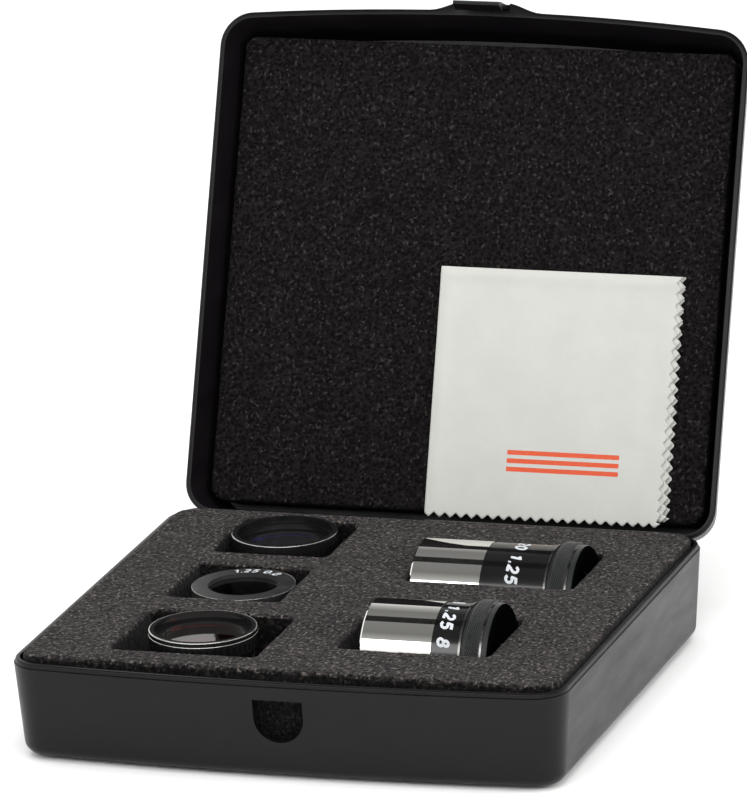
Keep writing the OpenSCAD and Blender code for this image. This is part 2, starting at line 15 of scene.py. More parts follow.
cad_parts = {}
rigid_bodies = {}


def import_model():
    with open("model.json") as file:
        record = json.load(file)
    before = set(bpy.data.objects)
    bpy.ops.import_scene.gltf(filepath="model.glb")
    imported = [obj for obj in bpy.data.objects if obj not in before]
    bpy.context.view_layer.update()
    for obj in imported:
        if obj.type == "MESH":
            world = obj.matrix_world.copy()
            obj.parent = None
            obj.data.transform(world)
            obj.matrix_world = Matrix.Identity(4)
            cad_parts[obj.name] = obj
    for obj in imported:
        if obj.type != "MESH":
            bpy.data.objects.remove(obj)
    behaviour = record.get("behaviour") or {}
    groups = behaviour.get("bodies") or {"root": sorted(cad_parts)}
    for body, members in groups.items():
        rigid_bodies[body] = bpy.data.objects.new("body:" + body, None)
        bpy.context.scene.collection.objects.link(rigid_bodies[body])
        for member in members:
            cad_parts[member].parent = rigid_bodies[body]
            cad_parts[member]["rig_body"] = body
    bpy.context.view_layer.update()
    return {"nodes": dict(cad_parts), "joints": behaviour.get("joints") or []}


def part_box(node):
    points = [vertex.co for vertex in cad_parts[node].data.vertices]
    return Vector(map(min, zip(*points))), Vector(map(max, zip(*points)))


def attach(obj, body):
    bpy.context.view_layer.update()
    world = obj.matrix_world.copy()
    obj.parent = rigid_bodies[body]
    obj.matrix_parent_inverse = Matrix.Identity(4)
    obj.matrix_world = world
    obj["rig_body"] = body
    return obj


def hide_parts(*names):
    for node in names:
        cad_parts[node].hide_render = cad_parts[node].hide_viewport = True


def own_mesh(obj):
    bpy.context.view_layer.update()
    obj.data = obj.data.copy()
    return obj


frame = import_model()
NODES = frame["nodes"]
JOINTS = {j["name"]: j for j in frame["joints"]}
MM = 0.001

# ---------- the open lid ----------

HINGE = Vector(JOINTS["lid_hinge"]["pos_m"])
LID_OPEN = math.radians(JOINTS["lid_hinge"]["range_deg"][0])
OPENED = Matrix.Translation(HINGE) @ Matrix.Rotation(LID_OPEN, 4, "X") @ Matrix.Translation(-HINGE)
CLOSED = OPENED.inverted()
LID_UP = (OPENED.to_3x3() @ Vector((0, -1, 0))).normalized()

# Stripes printed on the cloth: the lowest one's distance from the hinge, how much of their
# pitch is printed, and their ends.
HINGE_TO_PRINT = 19.6 * MM
PRINT_PITCH = 2.5 * MM
PRINT_SHARE = 0.56
PRINT_STRIPES = 3
PRINT_LEFT, PRINT_RIGHT = 15.6 * MM, 50.2 * MM


def closed_box(node):
    """Lowest and highest corner of a lid node as it is with the lid closed."""
    points = [CLOSED @ v.co for v in NODES[node].data.vertices]
    return (
        Vector(min(p[i] for p in points) for i in range(3)),
        Vector(max(p[i] for p in points) for i in range(3)),
    )


# The lid's foam stands further out than its CAD solid, which is as thick as the closed lid
# leaves it. It flattens to that as the lid closes, and the cloth on it goes back with it.
LID_FOAM_LOW, LID_FOAM_HIGH = closed_box("lid_foam")
RIM_GAP = 0.2 * MM
LID_FOAM_RECESS = 7.3 * MM
LID_FOAM_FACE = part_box("base_shell")[1].z + RIM_GAP + LID_FOAM_RECESS

# ---------- materials ----------


class Paint:
    """A Principled material with helpers for the nodes that drive it."""

    def __init__(self, name, **sockets):
        self.material = bpy.data.materials.new(name)
        self.material.use_nodes = True
        self.tree = self.material.node_tree
        self.shader = self.tree.nodes["Principled BSDF"]
        for socket, value in sockets.items():
            self.shader.inputs[socket.replace("_", " ")].default_value = value
        self.place = self.node("ShaderNodeTexCoord").outputs["Object"]

    def node(self, kind, **settings):
        made = self.tree.nodes.new(kind)
        for name, value in settings.items():
            setattr(made, name, value)
        return made

    def link(self, out, into):
        self.tree.links.new(out, into)

    def stretched(self, x, y, z):
        """The object's place, scaled differently along each axis."""
        mapping = self.node("ShaderNodeMapping")
        mapping.inputs["Scale"].default_value = (x, y, z)
        self.link(self.place, mapping.inputs["Vector"])
        return mapping.outputs["Vector"]

    def noise(self, size, detail=3.0, rough=0.5, place=None):
        """Noise whose blots are about size across, in metres."""
        made = self.node("ShaderNodeTexNoise")
        made.inputs["Scale"].default_value = 1 / size
        made.inputs["Detail"].default_value = detail
        made.inputs["Roughness"].default_value = rough
        self.link(place or self.place, made.inputs["Vector"])
        return made.outputs["Fac"]

    def cells(self, size):
        """Distance to the nearest cell centre, for cells about size across."""
        made = self.node("ShaderNodeTexVoronoi", feature="F1")
        made.inputs["Scale"].default_value = 1 / size
        self.link(self.place, made.inputs["Vector"])
        return made.outputs["Distance"]

    def facing(self, axis, kind="Normal"):
        """How far the surface faces along an axis, X, Y or Z, from -1 to 1."""
        split = self.node("ShaderNodeSeparateXYZ")
        self.link(self.node("ShaderNodeNewGeometry").outputs[kind], split.inputs["Vector"])
        return split.outputs[axis]

    def ramp(self, value, stops):
        """Colours along a 0 to 1 value; stops are (place, colour)."""
        made = self.node("ShaderNodeValToRGB")
        elements = made.color_ramp.elements
        while len(elements) < len(stops):
            elements.new(0.5)
        for element, (at, colour) in zip(elements, stops):
            element.position = at
            element.color = (*colour, 1) if len(colour) == 3 else colour
        self.link(value, made.inputs["Fac"])
        return made.outputs["Color"]

    def span(self, value, low, high, to_low, to_high):
        """value from low..high mapped to to_low..to_high."""
        made = self.node("ShaderNodeMapRange")
        ends = {"From Min": low, "From Max": high, "To Min": to_low, "To Max": to_high}
        for socket, number in ends.items():
            made.inputs[socket].default_value = number
        self.link(value, made.inputs["Value"])
        return made.outputs["Result"]

    def math(self, kind, a, b):
        made = self.node("ShaderNodeMath", operation=kind)
        for socket, value in zip(made.inputs, (a, b)):
            if isinstance(value, (int, float)):
                socket.default_value = value
            else:
                self.link(value, socket)
        return made.outputs["Value"]

    def mix(self, share, a, b):
        """Colours a and b mixed; share is a node output."""
        made = self.node("ShaderNodeMix", data_type="RGBA")
        for socket, value in ((made.inputs[0], share), (made.inputs[6], a), (made.inputs[7], b)):
            if isinstance(value, tuple):
                socket.default_value = (*value, 1)
            elif isinstance(value, (int, float)):
                socket.default_value = value
            else:
                self.link(value, socket)
        return made.outputs[2]

    def stripes(self, start, pitch, count, left, right):
        """1 on stripes that run across the open lid, the first at start from its hinge."""
        split = self.node("ShaderNodeSeparateXYZ")
        self.link(self.place, split.inputs["Vector"])
        up_lid = self.node("ShaderNodeVectorMath", operation="DOT_PRODUCT")
        self.link(self.place, up_lid.inputs[0])
        up_lid.inputs[1].default_value = LID_UP
        from_start = self.math("SUBTRACT", up_lid.outputs["Value"], HINGE.dot(LID_UP) + start)
        along = self.math("DIVIDE", from_start, pitch)
        on_stripe = self.math("LESS_THAN", self.math("FRACT", along, 0), PRINT_SHARE)
        across = split.outputs["X"]
        for inside in (
            self.math("GREATER_THAN", along, 0.0), self.math("LESS_THAN", along, count),
            self.math("GREATER_THAN", across, left), self.math("LESS_THAN", across, right),
        ):
            on_stripe = self.math("MULTIPLY", on_stripe, inside)
        return on_stripe

    def colour(self, output):
        self.link(output, self.shader.inputs["Base Color"])

    def roughness(self, output):
        self.link(output, self.shader.inputs["Roughness"])

    def bump(self, height, depth, strength=1.0):
        made = self.node("ShaderNodeBump")
        made.inputs["Strength"].default_value = strength
        made.inputs["Distance"].default_value = depth
        self.link(height, made.inputs["Height"])
        before = self.shader.inputs["Normal"].links
        if before:
            self.link(before[0].from_socket, made.inputs["Normal"])
        self.link(made.outputs["Normal"], self.shader.inputs["Normal"])


def plastic():
    """Moulded black plastic with a fine spark-eroded grain and a few faint rubs."""
    m = Paint("moulded_plastic", Roughness=0.36, IOR=1.5)
    m.shader.inputs["Specular IOR Level"].default_value = 0.19
    grain = m.noise(0.35 * MM, 4, 0.6)
    rubs = m.noise(14 * MM, 5, 0.65, m.stretched(1, 0.4, 2.2))
    m.colour(m.ramp(rubs, [(0.3, (0.003, 0.0024, 0.003)), (0.7, (0.0048, 0.004, 0.0047))]))
    m.roughness(m.span(rubs, 0.3, 0.75, 0.3, 0.44))
    m.bump(grain, 0.05 * MM, 0.35)
    return m.material


def foam(name, dark, light, fleck, fleck_share, sheen, sides):
    """Open-cell foam: dark cell mouths, lighter struts and a few bright flecks.

    Its standing faces are painted darker than its skin, as painted shade. The last argument gives
    how far up a face points, from 0 to 1, where that painted shade is whole and where it has gone.
    """
    m = Paint(name, Roughness=0.95, IOR=1.3)
    m.shader.inputs["Specular IOR Level"].default_value = 0.1
    m.shader.inputs["Sheen Weight"].default_value = sheen
    m.shader.inputs["Sheen Roughness"].default_value = 0.6
    # The grain is a little drawn out from front to back.
    drawn = m.stretched(1, 0.7, 0.85)
    cells = m.cells(1.25 * MM)
    fine = m.noise(0.95 * MM, 3, 0.6, drawn)
    broad = m.noise(9 * MM, 3, 0.5)
    struts = m.math("MULTIPLY", cells, fine)
    base = m.ramp(struts, [(0.12, dark), (0.36, light)])
    base = m.mix(m.span(broad, 0.3, 0.7, 0.0, 0.35), base, dark)
    flecks = m.span(m.noise(0.95 * MM, 1, 0.4, drawn), 1 - fleck_share, 1 - fleck_share + 0.05, 0.0, 1.0)
    skin = m.mix(flecks, base, fleck)
    # Painted shade: faces that stand up are mixed towards near black.
    side_shade = m.span(m.facing("Z", "True Normal"), *sides, 0.8, 0.0)
    m.colour(m.mix(side_shade, skin, (0.0008, 0.0007, 0.0007)))
    m.bump(struts, 0.6 * MM, 0.8)
    m.bump(fine, 0.35 * MM, 0.6)
    return m.material


def chrome():
    """Polished chrome plate with faint turning marks and a few fingerprints."""
    m = Paint("chrome", Metallic=1.0, Roughness=0.05)
    m.shader.inputs["Base Color"].default_value = (0.86, 0.85, 0.82, 1)
    smudge = m.noise(7 * MM, 4, 0.6)
    m.roughness(m.span(smudge, 0.35, 0.75, 0.02, 0.06))
    m.bump(m.noise(0.5 * MM, 2, 0.5, m.stretched(1, 0.02, 0.02)), 0.006 * MM, 0.3)
    return m.material


def anodised(name, rough, grey=0.012, coat=0.0, dull_top=False):
    """Black anodised or painted metal, a little uneven in its gloss.

    With dull_top, flat tops are duller than the turned sides.
    """
    m = Paint(name, Roughness=rough, IOR=1.55)
    m.shader.inputs["Coat Weight"].default_value = coat
    m.shader.inputs["Coat Roughness"].default_value = 0.08
    patches = m.noise(5 * MM, 4, 0.6)
    dim, bright = (grey * 0.8, grey * 0.8, grey * 0.85), (grey * 1.3,) * 3
    m.colour(m.ramp(patches, [(0.3, dim), (0.75, bright)]))
    gloss = m.span(patches, 0.3, 0.7, rough * 0.8, rough * 1.25)
    if dull_top:
        up = m.facing("Z", "True Normal")
        gloss = m.math("ADD", gloss, m.span(up, 0.85, 0.98, 0.0, 0.55))
        m.link(m.span(up, 0.85, 0.98, coat, 0.0), m.shader.inputs["Coat Weight"])
        m.link(m.span(up, 0.85, 0.98, 0.5, 0.05), m.shader.inputs["Specular IOR Level"])
    m.roughness(gloss)
    m.bump(m.noise(0.16 * MM, 2, 0.6), 0.01 * MM, 0.3)
    return m.material


def rubber(name, shaded_face=False):
    """Soft black rubber with dust in its pores and a slight bloom.

    With the second argument set, what faces along the eyepiece gets painted shade, darker than its rim, and
    is duller.
    """
    m = Paint(name, Roughness=0.5, IOR=1.5)
    m.shader.inputs["Specular IOR Level"].default_value = 0.35
    m.shader.inputs["Sheen Weight"].default_value = 0.2
    m.shader.inputs["Sheen Roughness"].default_value = 0.45
    bloom = m.noise(3 * MM, 5, 0.65)
    colour = m.ramp(bloom, [(0.3, (0.006, 0.0068, 0.007)), (0.75, (0.014, 0.0155, 0.0155))])
    if shaded_face:
        # Painted shade: faces pointing along +X are mixed towards near black, and lose their specular and
        # sheen.
        face = m.span(m.facing("X"), 0.35, 0.6, 0.0, 1.0)
        colour = m.mix(face, colour, (0.0008, 0.0009, 0.001))
        m.link(m.span(face, 0, 1, 0.35, 0.0), m.shader.inputs["Specular IOR Level"])
        m.link(m.span(face, 0, 1, 0.2, 0.0), m.shader.inputs["Sheen Weight"])
    m.colour(colour)
    m.roughness(m.span(bloom, 0.3, 0.7, 0.38, 0.6))
    m.bump(m.noise(0.12 * MM, 3, 0.6), 0.02 * MM, 0.4)
    return m.material


def steel(name, grey):
    """Drawn or turned metal of the pins and trim rings."""
    m = Paint(name, Metallic=1.0, Roughness=0.22)
    m.shader.inputs["Base Color"].default_value = (grey, grey * 0.985, grey * 0.955, 1)
    m.roughness(m.span(m.noise(1.2 * MM, 4, 0.6), 0.3, 0.7, 0.16, 0.32))
    m.bump(m.noise(0.1 * MM, 2, 0.5, m.stretched(0.1, 1, 1)), 0.004 * MM, 0.3)
    return m.material


def glass(name, tint, rough=0.02, coat=0.0):
    """Polished glass, tinted through its thickness, with a trace of dust on it."""
    m = Paint(name, Roughness=rough, IOR=1.52)
    m.shader.inputs["Transmission Weight"].default_value = 1.0
    m.shader.inputs["Coat Weight"].default_value = coat
    m.shader.inputs["Coat Tint"].default_value = (0.75, 0.8, 1, 1)
    dust = m.noise(1.6 * MM, 5, 0.7)
    m.roughness(m.span(dust, 0.45, 0.85, rough, rough + 0.12))
    shade = m.noise(6 * MM, 2, 0.5)
    m.colour(m.ramp(shade, [(0.3, tint), (0.7, tuple(min(1, c * 1.08) for c in tint))]))
    return m.material


def microfibre():
    """Brushed off-white microfibre with its close knit, soft nap and three printed stripes."""
    m = Paint("microfibre", Roughness=0.9, IOR=1.4)
    m.shader.inputs["Specular IOR Level"].default_value = 0.2
    m.shader.inputs["Sheen Weight"].default_value = 0.35
    m.shader.inputs["Sheen Roughness"].default_value = 0.5
    nap = m.noise(9 * MM, 4, 0.6)
    thread = m.noise(0.25 * MM, 3, 0.6)
    base = m.ramp(nap, [(0.3, (0.445, 0.447, 0.422)), (0.7, (0.475, 0.477, 0.452))])
    base = m.mix(m.span(thread, 0.3, 0.7, 0.0, 0.22), base, (0.36, 0.362, 0.34))
    printed = m.stripes(HINGE_TO_PRINT, PRINT_PITCH, PRINT_STRIPES, PRINT_LEFT, PRINT_RIGHT)
    inked = m.math("MULTIPLY", printed, m.span(thread, 0.2, 0.6, 0.75, 1.0))
    m.colour(m.mix(inked, base, (0.56, 0.06, 0.012)))
    for across in (m.stretched(1, 0.08, 0.08), m.stretched(0.08, 1, 1)):
        m.bump(m.noise(0.22 * MM, 1, 0.4, across), 0.03 * MM, 0.35)
    m.bump(thread, 0.05 * MM, 0.4)
    return m.material


def ink(name, colour, rough=0.5):
    """Printed or engraved-and-filled paint, a little thin in places."""
    m = Paint(name, Roughness=rough)
    thin = m.noise(0.3 * MM, 4, 0.7)
    m.colour(m.ramp(thin, [(0.25, tuple(c * 0.8 for c in colour)), (0.6, colour)]))
    m.bump(thin, 0.01 * MM, 0.3)
    return m.material


PLASTIC = plastic()
# Both foams get painted shade on faces that stand up; sides sets where it starts and ends.
BASE_FOAM = foam(
    "charcoal_foam", dark=(0.002, 0.0017, 0.0018), light=(0.034, 0.0292, 0.029),
    fleck=(0.088, 0.077, 0.072), fleck_share=0.38, sheen=0.04, sides=(0.25, 0.8),
)
LID_FOAM = foam(
    "black_foam", dark=(0.003, 0.0025, 0.0027), light=(0.0125, 0.0105, 0.0114),
    fleck=(0.03, 0.0255, 0.025), fleck_share=0.36, sheen=0.01, sides=(0.05, 0.42),
)
CHROME = chrome()
FILTER_BLACK = anodised("black_anodised", 0.16, 0.006, 0.45, dull_top=True)
MOON_BLACK = anodised("satin_black", 0.42, 0.014)
LABEL_BLACK = anodised("label_black", 0.14, 0.004)
INSIDE_BLACK = anodised("matt_black", 0.55, 0.01)
FLAG_BLACK = anodised("flag_black", 0.9, 0.002)
RUBBER = rubber("rubber")
# The eyecups' end faces get painted shade.
EYECUP = rubber("eyecup_rubber", shaded_face=True)
STEEL = steel("bright_steel", 0.65)
TRIM = steel("dull_trim", 0.2)
BARE_EDGE = steel("bare_edge", 0.6)
CLEAR = glass("coated_glass", (0.93, 0.96, 0.99), coat=0.3)
BLUE = glass("blue_glass", (0.015, 0.02, 0.2))
MOON = glass("grey_glass", (0.16, 0.17, 0.17))
RED = glass("red_glass", (0.2, 0.012, 0.012))
CLOTH = microfibre()
WHITE_INK = ink("white_ink", (0.5, 0.52, 0.55))

FINISHES = {
    "case_plastic": PLASTIC,
    "foam": BASE_FOAM,
    "lid_foam": LID_FOAM,
    "steel": STEEL,
    "cloth": CLOTH,
    "chrome": CHROME,
    "black_anodised": FILTER_BLACK,
    "label_black": LABEL_BLACK,
    "bright_trim": TRIM,
    "rubber": RUBBER,
    "optical_glass": CLEAR,
    "blue_glass": BLUE,
    "moon_glass": MOON,
    "red_glass": RED,
}


def wear(piece, material):
    """Gives a piece one material in place of what it has."""
    piece.data.materials.clear()
    piece.data.materials.append(material)


for node in NODES.values():
    wear(node, FINISHES[node.data.materials[0].name])
for node in ("long_field_stop", "short_field_stop", "long_lock_ring", "short_lock_ring"):
    wear(NODES[node], INSIDE_BLACK)
wear(NODES["moon_filter_ring"], MOON_BLACK)
for node in ("long_eyecup", "short_eyecup"):
    wear(NODES[node], EYECUP)

# ---------- mesh helpers ----------


def new_piece(name, points, faces, material, body, smooth=True):
    """A closed or open mesh of the given faces, which wears a material and rides on a body."""
    mesh = bpy.data.meshes.new(name)
    mesh.from_pydata([tuple(p) for p in points], [], faces)
    mesh.validate()
    piece = bpy.data.objects.new(name, mesh)
    bpy.context.scene.collection.objects.link(piece)
    fixed = bmesh.new()
    fixed.from_mesh(mesh)
    bmesh.ops.recalc_face_normals(fixed, faces=fixed.faces)
    fixed.to_mesh(mesh)
    fixed.free()
    for polygon in mesh.polygons:
        polygon.use_smooth = smooth
    wear(piece, material)
    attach(piece, body)
    return piece


def applied(piece, modifiers):
    """Adds the modifiers (kind, settings) to the piece and applies them all."""
    for kind, settings in modifiers:
        modifier = piece.modifiers.new(kind.lower(), kind)
        for name, value in settings.items():
            setattr(modifier, name, value)
    shown = piece.evaluated_get(bpy.context.evaluated_depsgraph_get())
    mesh = bpy.data.meshes.new_from_object(shown)
    piece.modifiers.clear()
    piece.data = mesh
    return piece


def smooth_shell(node):
    """Shades a moulded shell smooth, with its sharp edges kept."""
    mesh = node.data
    if mesh.has_custom_normals:
        mesh.attributes.remove(mesh.attributes["custom_normal"])
    mesh.polygons.foreach_set("use_smooth", [True] * len(mesh.polygons))
    weld = node.modifiers.new("weld", "WELD")
    weld.merge_threshold = 0.001 * MM
    split = node.modifiers.new("edges", "EDGE_SPLIT")
    split.split_angle = math.radians(50)


for shell in ("base_shell", "lid_shell", "latch_tongue"):
    smooth_shell(NODES[shell])

# ---------- grips and marks ----------


def on_tube(centre, radius, along, angle):
    """A point on a tube round the X axis; angle 0 is on top and grows towards the front."""
    return Vector((along, centre.y - radius * math.sin(angle), centre.z + radius * math.cos(angle)))


def grip_ribs(body):
    """The slanting ribs moulded round an eyepiece's grip ring."""
    low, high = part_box(f"{body}_grip_ring")
    centre, ring = (low + high) / 2, (high.z - low.z) / 2
    length, shoulder_width = 4.4 * MM, 0.4 * MM
    ribs, across, rows = 88, 6, 16
    rib_height, sunk = 0.42 * MM, 0.15 * MM
    turn = length / math.tan(math.radians(27)) / ring
    around = ribs * across
    waves = [0.5 - 0.5 * math.cos(2 * math.pi * i / across) for i in range(around)]
    rings = []
    for j in range(rows + 1):
        t = j / rows
        shoulder = math.sin(min(1, min(t, 1 - t) * length / shoulder_width) * math.pi / 2)
        rings.append([
            (ring - sunk + (rib_height * wave + 0.16 * MM) * shoulder, t) for wave in waves
        ])
    rings += [[(ring - 0.4 * MM, t)] * around for t in (1, 0)]
    points = [
        on_tube(centre, radius, high.x - length * (1 - t), 2 * math.pi * i / around + turn * t)
        for each in rings
        for i, (radius, t) in enumerate(each)
    ]
    faces = [
        (
            j * around + i, j * around + (i + 1) % around,
            (j + 1) % len(rings) * around + (i + 1) % around, (j + 1) % len(rings) * around + i,
        )
        for j in range(len(rings))
        for i in range(around)
    ]
    piece = new_piece(f"{body}_grip_ribs", points, faces, RUBBER, f"{body}_eyepiece")


def bend(cx, cy, rx, ry, start, end):
    """Points along part of an ellipse, from one angle in degrees to another."""
    steps = max(6, abs(end - start) // 15)
    angles = [math.radians(start + (end - start) * i / steps) for i in range(steps + 1)]
    return [(cx + rx * math.cos(a), cy + ry * math.sin(a)) for a in angles]


# Strokes of each sign, in a box one unit high, and how far the next sign is.
SIGNS = {
    "0": ([bend(0.3, 0.5, 0.28, 0.42, 0, 360)], 0.9),
    "1": ([[(0.1, 0.74), (0.34, 0.92), (0.34, 0.08)]], 0.72),
    "2": ([bend(0.3, 0.67, 0.25, 0.25, 165, -35) + [(0.04, 0.09), (0.58, 0.09)]], 0.9),
    "5": ([[(0.54, 0.92), (0.12, 0.92), (0.08, 0.55)] + bend(0.28, 0.34, 0.27, 0.26, 125, -145)], 0.9),
    "8": ([bend(0.3, 0.71, 0.2, 0.2, 0, 360), bend(0.3, 0.29, 0.27, 0.22, 0, 360)], 0.9),
    ".": ([[(0.06, 0.09), (0.2, 0.09)]], 0.42),
    " ": ([], 0.55),
}
SLANT = 0.22


def marks(name, text, height, bold, place, body):
    """Painted signs, each stroke a thin bar.

    place(u, v, lift) is a point of the surface, u along the text and v up it.
    """
    points, faces = [], []
    start = 0.0
    for sign in text:
        strokes, advance = SIGNS[sign]
        for stroke in strokes:
            fine = [stroke[0]]
            for a, b in zip(stroke, stroke[1:]):
                cuts = max(1, round(math.dist(a, b) / 0.12))
                fine += [
                    (a[0] + (b[0] - a[0]) * k / cuts, a[1] + (b[1] - a[1]) * k / cuts)
                    for k in range(1, cuts + 1)
                ]
            first = len(points)
            for k, (x, y) in enumerate(fine):
                before, after = fine[max(k - 1, 0)], fine[min(k + 1, len(fine) - 1)]
                closed = math.dist(stroke[0], stroke[-1]) < 1e-6
                if closed:
                    before, after = fine[k - 1 if k else -2], fine[k + 1 if k + 1 < len(fine) else 1]
                run = Vector((after[0] - before[0], after[1] - before[1])).normalized()
                for side, lift in ((1, 0.04), (-1, 0.04), (-1, -0.1), (1, -0.1)):
                    u, v = x - side * run.y * bold / 2, y + side * run.x * bold / 2
                    points.append(place((start + u + SLANT * v) * height, v * height, lift * MM))
            for k in range(len(fine) - 1):
                at = first + 4 * k
                faces += [(at + c, at + (c + 1) % 4, at + 4 + (c + 1) % 4, at + 4 + c) for c in range(4)]
            last = len(points) - 4
            faces += [(first, first + 1, first + 2, first + 3), (last, last + 1, last + 2, last + 3)]
        start += advance
    piece = new_piece(name, points, faces, WHITE_INK, body, smooth=False)


def label(eyepiece, text, along, first_angle):
    """Signs that run round an eyepiece's body, with their tops towards the eye lens."""
    low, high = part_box(f"{eyepiece}_body")
    centre = (low + high) / 2
    radius = (high.z - low.z) / 2

    def place(u, v, lift):
        return on_tube(centre, radius + lift, along + v, first_angle + u / radius)

    marks(f"{eyepiece}_marks", text, 3.8 * MM, 0.23, place, f"{eyepiece}_eyepiece")


for eyepiece in ("long", "short"):
    grip_ribs(eyepiece)
label("long", "1.25 20 1.25", 37.2 * MM, math.radians(-62))
label("short", "1.25 8 1.25 8", 37.1 * MM, math.radians(-66))


def bright_edge(filter_name, below, inset, thick):
    """The bare metal of a filter ring's machined edge, as a thin hoop round it."""
    low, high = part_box(f"{filter_name}_ring")
    middle, radius = (low + high) / 2, (high.x - low.x) / 2 - inset
    around, across = 120, 8
    points, faces = [], []
    for i in range(around):
        turn = 2 * math.pi * i / around
        for k in range(across):
            tip = 2 * math.pi * k / across
            reach = radius + thick * math.cos(tip)
            points.append((
                middle.x + reach * math.cos(turn), middle.y + reach * math.sin(turn),
                high.z - below + thick * math.sin(tip),
            ))
            here, after, beside = i * across, (i + 1) % around * across, (k + 1) % across
            faces.append((here + k, after + k, after + beside, here + beside))
    piece = new_piece(f"{filter_name}_edge_{round(below / MM * 10)}", points, faces, BARE_EDGE, filter_name)


bright_edge("blue_filter", 0.2 * MM, 0.2 * MM, 0.22 * MM)
bright_edge("red_filter", 0.24 * MM, 0.24 * MM, 0.27 * MM)
bright_edge("red_filter", 1.5 * MM, 0.1 * MM, 0.2 * MM)
bright_edge("moon_filter", 0.14 * MM, 0.12 * MM, 0.1 * MM)

MOON_LOW, MOON_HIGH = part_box("moon_filter_ring")
MOON_TEXT_FOOT, MOON_TEXT_MIDDLE = 11.3 * MM, 12.8 * MM
MOON_TEXT_START = math.radians(-32)


def on_moon_ring(u, v, lift):
    """A point of the flat ring of the moon filter, round its back."""
    middle, radius = (MOON_LOW + MOON_HIGH) / 2, MOON_TEXT_FOOT + v
    angle = MOON_TEXT_START + u / MOON_TEXT_MIDDLE
    x, y = middle.x + radius * math.sin(angle), middle.y + radius * math.cos(angle)
    return Vector((x, y, MOON_HIGH.z + lift))


marks("moon_marks", "1.25 0.8", 2.7 * MM, 0.2, on_moon_ring, "moon_filter")

# ---------- foam ----------


def cut_foam(node, name, material, cell, rough, reshape=None):
    """Foam in place of a CAD block: its own surface, with soft cut edges and torn open cells."""
    source = NODES[node]
    mesh = source.data.copy()
    piece = bpy.data.objects.new(name, mesh)
    bpy.context.scene.collection.objects.link(piece)
    if mesh.has_custom_normals:
        mesh.attributes.remove(mesh.attributes["custom_normal"])
    if reshape:
        for vertex in mesh.vertices:
            vertex.co = reshape(vertex.co)
    applied(piece, [
        ("WELD", {"merge_threshold": 0.01 * MM}),
        ("REMESH", {"mode": "VOXEL", "voxel_size": cell, "adaptivity": 0.0}),
        ("SMOOTH", {"factor": 0.5, "iterations": 2}),
    ])
    mesh = piece.data
    random = np.random.default_rng(len(name))
    count = len(mesh.vertices)
    places, normals = np.zeros(count * 3), np.zeros(count * 3)
    mesh.vertices.foreach_get("co", places)
    mesh.vertices.foreach_get("normal", normals)
    places, normals = places.reshape(-1, 3), normals.reshape(-1, 3)
    torn = -rough * np.abs(random.normal(0, 0.6, count))
    swell = np.array([noise.noise(Vector(p) / (11 * MM)) for p in places]) * 0.12 * MM
    places += normals * (torn + swell)[:, None]
    mesh.vertices.foreach_set("co", places.astype(np.float32).ravel())
    mesh.polygons.foreach_set("use_smooth", [True] * len(mesh.polygons))
    mesh.update()
    wear(piece, material)
    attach(piece, source["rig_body"])
    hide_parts(node)
    return piece


def thicker(point):
    """Moves the face of the lid's foam out to where it stands with the lid open."""
    closed = CLOSED @ point
    middle = (LID_FOAM_LOW.z + LID_FOAM_HIGH.z) / 2
    if closed.z < middle:
        closed.z = LID_FOAM_FACE
    return OPENED @ closed


FOAM_CELL = 0.9 * MM
cut_foam("base_foam", "base_foam_block", BASE_FOAM, FOAM_CELL, 0.16 * MM)
cut_foam("foam_floor", "base_foam_floor", BASE_FOAM, 1.4 * MM, 0.16 * MM)
cut_foam("filter_pads", "filter_plugs", BASE_FOAM, FOAM_CELL, 0.16 * MM)
lid_foam = cut_foam("lid_foam", "lid_foam_sheet", LID_FOAM, FOAM_CELL, 0.14 * MM, thicker)
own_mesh(lid_foam)

# ---------- cloth ----------

CLOTH_LOW = closed_box("lens_cloth")[0]
CLOTH_SIDE = 150 * MM
CLOTH_LAYER = 0.33 * MM
CLOTH_THICK = 0.26 * MM
CLOTH_SUNK = 0.25 * MM
PINK_PITCH = 3.4 * MM
PINK_DEPTH = 1.55 * MM
PINKED_SHARE = 0.1
QUARTER = math.pi / 2


def pinked(along):
    """Depth of a pinked edge's notch at a place along it."""
    t = (along / PINK_PITCH) % 1.0
    return PINK_DEPTH * abs(2 * t - 1)


def ridge(distance, width):
    """Height of a smooth ridge, 1 along its line, at a distance from the line."""
    return math.exp(-((distance / width) ** 2))


